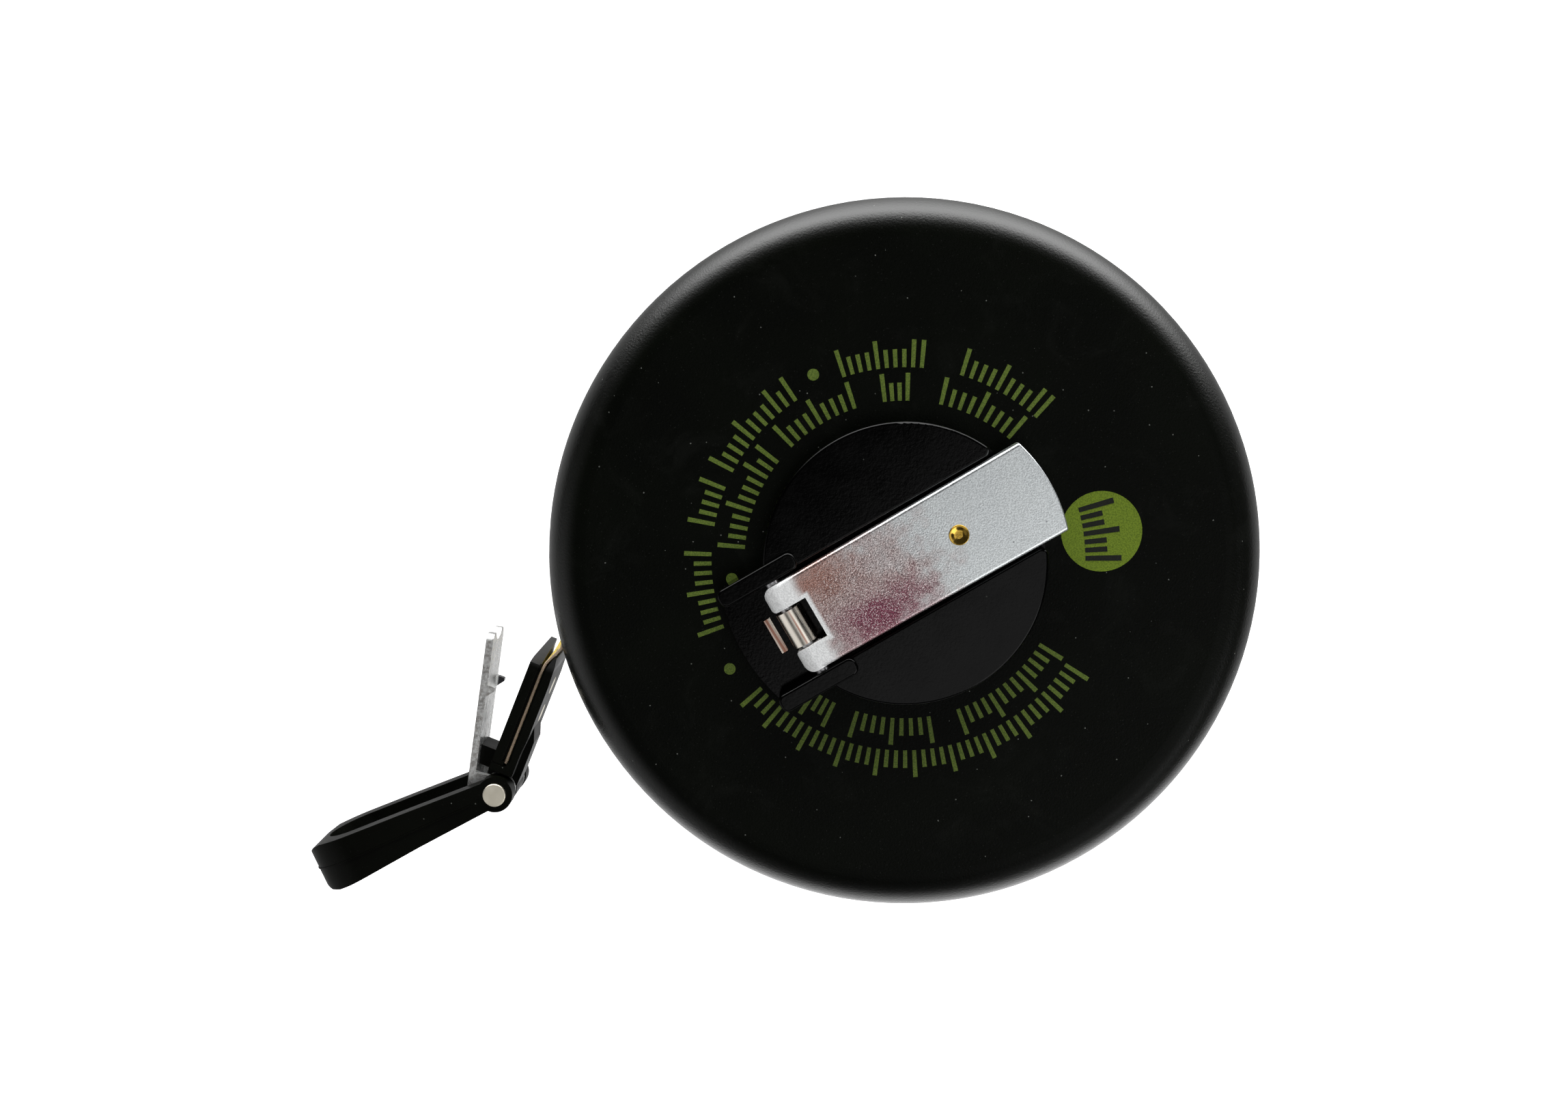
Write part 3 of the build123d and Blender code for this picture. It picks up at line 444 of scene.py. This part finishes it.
def claw_plate():
    """Plated sheet: drawn lines, brown stains, a rusty cut edge, and painted shade on the far barb and on the
    back face.
    """
    s = Surface("claw_plate", Metallic=0.75)
    y = s.along(Y_AXIS)
    z = s.along(Z_AXIS)
    out = s.along(CLAW_NORMAL)
    streak = s.noise(0.5 * MM, 2.0, 0.5, place=s.stretched(in_view(-0.15, 1.0, 0.0).normalized(), 0.06))
    cloud = s.noise(3 * MM, 4.0, 0.6)
    blotch = s.noise(0.8 * MM, 3.0, 0.5)

    lined = s.mix(s.between(streak, 0.28, 0.4), (0.34, 0.32, 0.31), (0.9, 0.91, 0.9))
    stain = s.math("MULTIPLY", s.between(blotch, 0.48, 0.72), s.between(cloud, 0.4, 0.7, 0.05, 0.5))
    stained = s.mix(stain, lined, (0.3, 0.23, 0.19))
    cut = s.between(z, CLAW_TOP - 0.2 * MM, CLAW_TOP - 0.04 * MM)
    rust = s.math("MULTIPLY", cut, s.between(s.noise(0.6 * MM, 4.0, 0.6), 0.4, 0.66, 0.15, 0.7))
    rusted = s.mix(rust, stained, (0.26, 0.23, 0.21))
    # Painted shade: the raised far barb, low on the claw, is painted near black.
    raised = s.between(out, CLAW_FACE + 0.1 * MM, CLAW_FACE + 0.4 * MM)
    far = s.math("MULTIPLY", s.between(y, -50 * MM, -49 * MM),
                 s.between(z, CLAW_TOP - 4 * MM, CLAW_TOP - 5 * MM))
    far_barb_shaded = s.mix(s.math("MULTIPLY", raised, far), rusted, (0.03, 0.03, 0.035))
    tip = s.between(y, -35.0 * MM, -33.6 * MM, 0.0, 0.85)
    tipped = s.mix(tip, far_barb_shaded, (0.2, 0.2, 0.19))
    # Painted shade: the outer back face is painted a darker grey.
    back_shade = s.between(out, CLAW_FACE - 0.95 * MM, CLAW_FACE - 1.04 * MM, 0.0, 0.75)
    s.set("Base Color", s.mix(back_shade, tipped, (0.16, 0.155, 0.15)))
    s.set("Roughness", s.between(cloud, 0.3, 0.7, 0.22, 0.34))
    s.bump(blotch, 0.03 * MM)
    s.bump(streak, 0.02 * MM)
    return s.material


# ---------------------------------------------------------------- tape and ink


def tape_coat(name):
    """PVC-coated fibreglass: its surface, cloudiness, yellow, height from the middle, and cut edges."""
    s = Surface(name, Specular_IOR_Level=0.35)
    cloud = s.noise(3 * MM, 4.0)
    yellow = s.mix(cloud, (0.72, 0.5, 0.05), (0.85, 0.64, 0.09))
    height = s.math("ABSOLUTE", s.math("SUBTRACT", s.along(Z_AXIS), TAPE_MID_Z))
    edge = s.between(height, TAPE_WIDTH / 2 - 0.12 * MM, TAPE_WIDTH / 2 - 0.02 * MM)
    return s, cloud, yellow, height, edge


def tape():
    """The roll's coat, with a fine line for each turn."""
    s, cloud, yellow, _, edge = tape_coat("tape")
    turns = s.math("SINE", s.math("MULTIPLY", s.vector("LENGTH", s.place), 2 * pi / TAPE_THICK))
    s.set("Base Color", s.mix(edge, yellow, (0.62, 0.5, 0.3)))
    s.set("Roughness", s.between(cloud, 0.2, 0.8, 0.4, 0.55))
    s.bump(turns, 0.05 * MM)
    return s.material


def tape_marks(s, reading, height):
    """1 where the tape is printed: ticks each millimetre, longer at 5 and 10, and a band each 100."""
    from_edge = s.math("SUBTRACT", TAPE_WIDTH / 2, height)
    total = 0.0
    for pitch, length, width in TAPE_TICKS:
        turns = s.math("ADD", s.math("DIVIDE", reading, pitch * MM), 0.5)
        phase = s.math("ABSOLUTE", s.math("SUBTRACT", s.math("FRACT", turns), 0.5))
        on_line = s.math("LESS_THAN", phase, width / 2 / pitch)
        in_reach = s.math("LESS_THAN", from_edge, length * MM)
        total = s.math("MAXIMUM", total, s.math("MULTIPLY", on_line, in_reach))
    return total


def strip_coat():
    """The strip's coat, with its printed scale and the threads under it."""
    s, cloud, yellow, height, edge = tape_coat("tape_strip_coat")
    reading = s.add("ShaderNodeAttribute", attribute_name="reading").outputs["Fac"]
    face = s.mix(tape_marks(s, reading, height), yellow, (0.02, 0.02, 0.018))
    s.set("Base Color", s.mix(edge, face, (0.6, 0.45, 0.32)))
    s.set("Roughness", s.between(cloud, 0.2, 0.8, 0.3, 0.45))
    s.bump(s.noise(0.4 * MM), 0.01 * MM)
    s.bump(s.math("SINE", s.math("MULTIPLY", s.along(Z_AXIS), 2 * pi / (0.5 * MM))), 0.01 * MM)
    return s.material


def print_ink(name, low, high):
    """Pad-printed ink that follows the grain under it."""
    s = Surface(name, Specular_IOR_Level=0.2)
    grain = s.noise(0.22 * MM, 3.0, 0.65)
    s.set("Base Color", s.mix(s.between(grain, 0.32, 0.66), low, high))
    s.set("Roughness", s.between(s.noise(1.5 * MM), 0.3, 0.7, 0.45, 0.6))
    s.bump(grain, 0.02 * MM)
    return s.material


# ---------------------------------------------------------------- meshes


def loft(mesh, rings):
    """Skins a row of closed rings of points and caps both ends."""
    rows = [[mesh.verts.new(point) for point in ring] for ring in rings]
    for near, far in zip(rows, rows[1:]):
        for k in range(len(near)):
            nxt = (k + 1) % len(near)
            mesh.faces.new((near[k], near[nxt], far[nxt], far[k]))
    mesh.faces.new(rows[0])
    mesh.faces.new(reversed(rows[-1]))


def finished(mesh, name, material):
    """Turns a bmesh into an object with outward normals and one material."""
    bmesh.ops.recalc_face_normals(mesh, faces=mesh.faces)
    data = bpy.data.meshes.new(name)
    mesh.to_mesh(data)
    mesh.free()
    data.materials.append(material)
    piece = bpy.data.objects.new(name, data)
    bpy.context.scene.collection.objects.link(piece)
    return piece


# ---------------------------------------------------------------- tape strip


def rounded(route, radius):
    """Points along a route, with an arc at each corner."""
    points = [route[0]]
    for before, corner, after in zip(route, route[1:], route[2:]):
        into = (corner - before).normalized()
        out = (after - corner).normalized()
        turn = atan2(into.x * out.y - into.y * out.x, into.dot(out))
        cut = radius * tan(abs(turn) / 2)
        side = Vector((-into.y, into.x)) * (1 if turn > 0 else -1)
        centre = corner - into * cut + side * radius
        steps = ceil(abs(turn) * radius / (4 * TAPE_STEP))
        for k in range(steps + 1):
            arm = Matrix.Rotation(turn * k / steps, 2) @ (-side * radius)
            points.append(centre + arm)
    return points + [route[-1]]


def resampled(points, step):
    """The same line in equal steps, with the distance of each point from the start."""
    spots, gone = [(points[0], 0.0)], 0.0
    for a, b in zip(points, points[1:]):
        length = (b - a).length
        count = max(1, ceil(length / step))
        for k in range(1, count + 1):
            spots.append((a.lerp(b, k / count), gone + length * k / count))
        gone += length
    return spots


def tape_section():
    """The strip's outline with eased corners, as distances from its middle across and up."""
    t, w, ease = TAPE_THICK / 2, TAPE_WIDTH / 2, TAPE_EDGE_ROUND
    right = [(t, -w + ease), (t, w - ease), (t - ease, w)]
    left = [(-t + ease, w), (-t, w - ease), (-t, -w + ease)]
    return right + left + [(-t + ease, -w), (t - ease, -w)]


def tape_rings(line, section):
    """The strip's outline at each point of its line. It leans a little near the mouth."""
    for index, (spot, _) in enumerate(line):
        ahead = line[min(index + 1, len(line) - 1)][0] - line[max(index - 1, 0)][0]
        side = Vector((-ahead.y, ahead.x)).normalized()
        lean = TAPE_LEAN * max(0.0, 1 - abs(spot.y - LEAN_AT) / LEAN_REACH)
        yield [(*(spot + side * (t + lean * w / (TAPE_WIDTH / 2))), TAPE_MID_Z + w) for t, w in section]


def tape_strip():
    """The pulled-out end of the tape, with its readings spread for the length that can be pulled out."""
    line = resampled(rounded(TAPE_ROUTE, TAPE_BEND_R), TAPE_STEP)
    section = tape_section()
    mesh = bmesh.new()
    loft(mesh, tape_rings(line, section))
    piece = finished(mesh, "tape_strip", strip_coat())
    total = line[-1][1]
    readings = piece.data.attributes.new("reading", "FLOAT", "POINT")
    values = []
    for spot, gone in line:
        t = min(1.0, max(0.0, (spot.y - STRETCH_FROM) / (STRETCH_TO - STRETCH_FROM)))
        follows = t * t * (3 - 2 * t)
        values += [total - gone + (1 - follows) * PULL_LENGTH] * len(section)
    readings.data.foreach_set("value", values)
    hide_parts("tape_lead")
    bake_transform(piece)


# ---------------------------------------------------------------- print on the face


def stroke(mesh, radius, angle, width, low, high, bottom, top):
    """A raised radial stroke, from low inside an arc to high outside it."""
    half = width / 2 / radius
    steps = max(1, ceil(2 * half / PRINT_STEP))
    rings = []
    for k in range(steps + 1):
        at = angle - half + 2 * half * k / steps
        rings.append([(r * cos(at), r * sin(at), z) for r, z in
                      ((radius - low, bottom), (radius + high, bottom),
                       (radius + high, top), (radius - low, top))])
    loft(mesh, rings)


def disc(mesh, centre, radius, count=48):
    """A raised round patch."""
    turns = [2 * pi * k / count for k in range(count)]
    loft(mesh, [[(centre.x + radius * cos(turn), centre.y + radius * sin(turn), z) for turn in turns]
                for z in (PRINT_BOTTOM, PRINT_TOP)])


def printed(mesh, name, ink):
    """A printed piece, which goes with the case."""
    piece = finished(mesh, name, ink)
    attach(piece, "case")


def print_arc(name, radius, spans, dots, ink):
    """Groups of scale ticks along one arc, with dots between some of them."""
    mesh = bmesh.new()
    for start, stop in spans:
        length = radians(start - stop) * radius
        count = max(2, round(length / TICK_PITCH))
        for k in range(count + 1):
            tall = k % 4 == 0 or k == count
            stroke(mesh, radius, radians(start + (stop - start) * k / count), TICK_WIDTH,
                   TICK_LOW, TICK_TALL if tall else TICK_SHORT, PRINT_BOTTOM, PRINT_TOP)
    for degrees in dots:
        at = Vector((cos(radians(degrees)), sin(radians(degrees)))) * radius
        disc(mesh, at, DOT_R)
    printed(mesh, name, ink)


def badge(ink, black):
    """A round printed badge with a short plain scale."""
    mesh = bmesh.new()
    disc(mesh, BADGE_AT, BADGE_R, 96)
    printed(mesh, "print_badge", ink)
    mesh = bmesh.new()
    radius = BADGE_AT.length
    middle = atan2(BADGE_AT.y, BADGE_AT.x)
    for k in range(-3, 4):
        stroke(mesh, radius, middle + k * BADGE_TICK_PITCH / radius, BADGE_TICK_WIDTH,
               BADGE_TICK_LOW, BADGE_TICK_TALL if k % 3 == 0 else BADGE_TICK_SHORT,
               PRINT_TOP, BADGE_TICK_TOP)
    printed(mesh, "badge_bar", black)


# ---------------------------------------------------------------- stage


def floor():
    """A plain white table that glows enough to stay white under the object."""
    surface = Surface("floor_white", Base_Color=(0.9, 0.9, 0.9), Roughness=0.9,
                      Emission_Color=(1.0, 1.0, 1.0), Emission_Strength=1.15)
    mesh = bmesh.new()
    bmesh.ops.create_grid(mesh, x_segments=1, y_segments=1, size=40.0)
    plane = finished(mesh, "floor", surface.material)
    plane.location.z = -0.1 * MM
    plane.visible_glossy = False


def world():
    """Soft surroundings: brightest low beyond the top of the view, dim overhead, in front and at the side."""
    scene_world = bpy.data.worlds.new("studio")
    bpy.context.scene.world = scene_world
    scene_world.use_nodes = True
    sky = Nodes(scene_world.node_tree, "Generated")
    height = sky.along(Z_AXIS)
    overhead = sky.math("MULTIPLY", sky.between(height, 0.75, 0.92),
                        sky.between(sky.along(in_view(0.7, -0.7, 0.0)), 0.05, 0.145, 0.02, 1.0))
    low = sky.math("MULTIPLY", sky.between(height, 0.52, 0.38), sky.between(height, -0.7, 0.3, 1.3, 8.6))
    window = sky.math("MULTIPLY", sky.between(sky.along(in_view(0.1, 1.0, 0.0)), 0.45, 0.92), low)
    front = sky.between(sky.along(in_view(0.1, -0.84, -0.55)), 0.65, 0.97, 0.03, 1.3)
    side = sky.between(sky.along(in_view(-0.8, -0.45, 0.35)), 0.75, 0.97, 0.0, 0.7)
    below = sky.between(height, -0.02, -0.3, 0.0, 0.45)
    total = overhead
    for part in (window, front, side, below):
        total = sky.math("ADD", total, part)
    background = sky.tree.nodes["Background"]
    sky.feed(background, "Color", (1.0, 1.0, 1.0))
    sky.feed(background, "Strength", total)


def area_light(name, direction, distance, size, power):
    """A square soft light that looks at the object."""
    lamp = bpy.data.lights.new(name, "AREA")
    lamp.size = size
    lamp.energy = power
    holder = bpy.data.objects.new(name, lamp)
    holder.location = direction * distance
    holder.rotation_euler = direction.to_track_quat("Z", "Y").to_euler()
    bpy.context.scene.collection.objects.link(holder)


def camera():
    """The camera, which looks down at the face."""
    lens = bpy.data.cameras.new("camera")
    lens.lens = CAMERA_LENS
    lens.sensor_width = CAMERA_SENSOR
    lens.clip_start = 0.01
    holder = bpy.data.objects.new("camera", lens)
    holder.matrix_world = (Matrix.Rotation(VIEW_TURN, 4, "Z") @ Matrix.Translation(CAMERA_PLACE)
                           @ Matrix.Rotation(CAMERA_YAW, 4, "Y") @ Matrix.Rotation(CAMERA_PITCH, 4, "X"))
    bpy.context.scene.collection.objects.link(holder)
    bpy.context.scene.camera = holder


# ---------------------------------------------------------------- build


def dress_nodes():
    """Gives each CAD node the material of its slot, which is made by the function of that name."""
    makers = (case_plastic, hub_plastic, knob_plastic, drum_plastic, fitting_plastic, nylon,
              zinc_plate, claw_plate, spring_steel, screw_steel, nickel, brass, tape)
    materials = {make.__name__: make() for make in makers}
    for part in frame["record"]["subparts"]:
        data = frame["nodes"][part["node"]].data
        data.materials.clear()
        data.materials.append(materials[part["material_slot"]])


bpy.context.scene.view_settings.view_transform = "Standard"
camera()
world()
floor()
area_light("key", in_view(0.75, -0.7, 1.0).normalized(), distance=1.0, size=0.5, power=2.0)
dress_nodes()
tape_strip()
GREEN = print_ink("print_green", (0.06, 0.1, 0.014), (0.13, 0.185, 0.028))
print_arc("print_outer", OUTER_R, OUTER_SPANS, OUTER_DOTS, GREEN)
print_arc("print_inner", INNER_R, INNER_SPANS, INNER_DOTS, GREEN)
badge(print_ink("badge_green", (0.09, 0.14, 0.009), (0.17, 0.25, 0.017)),
      print_ink("badge_black", (0.004, 0.005, 0.003), (0.01, 0.012, 0.008)))
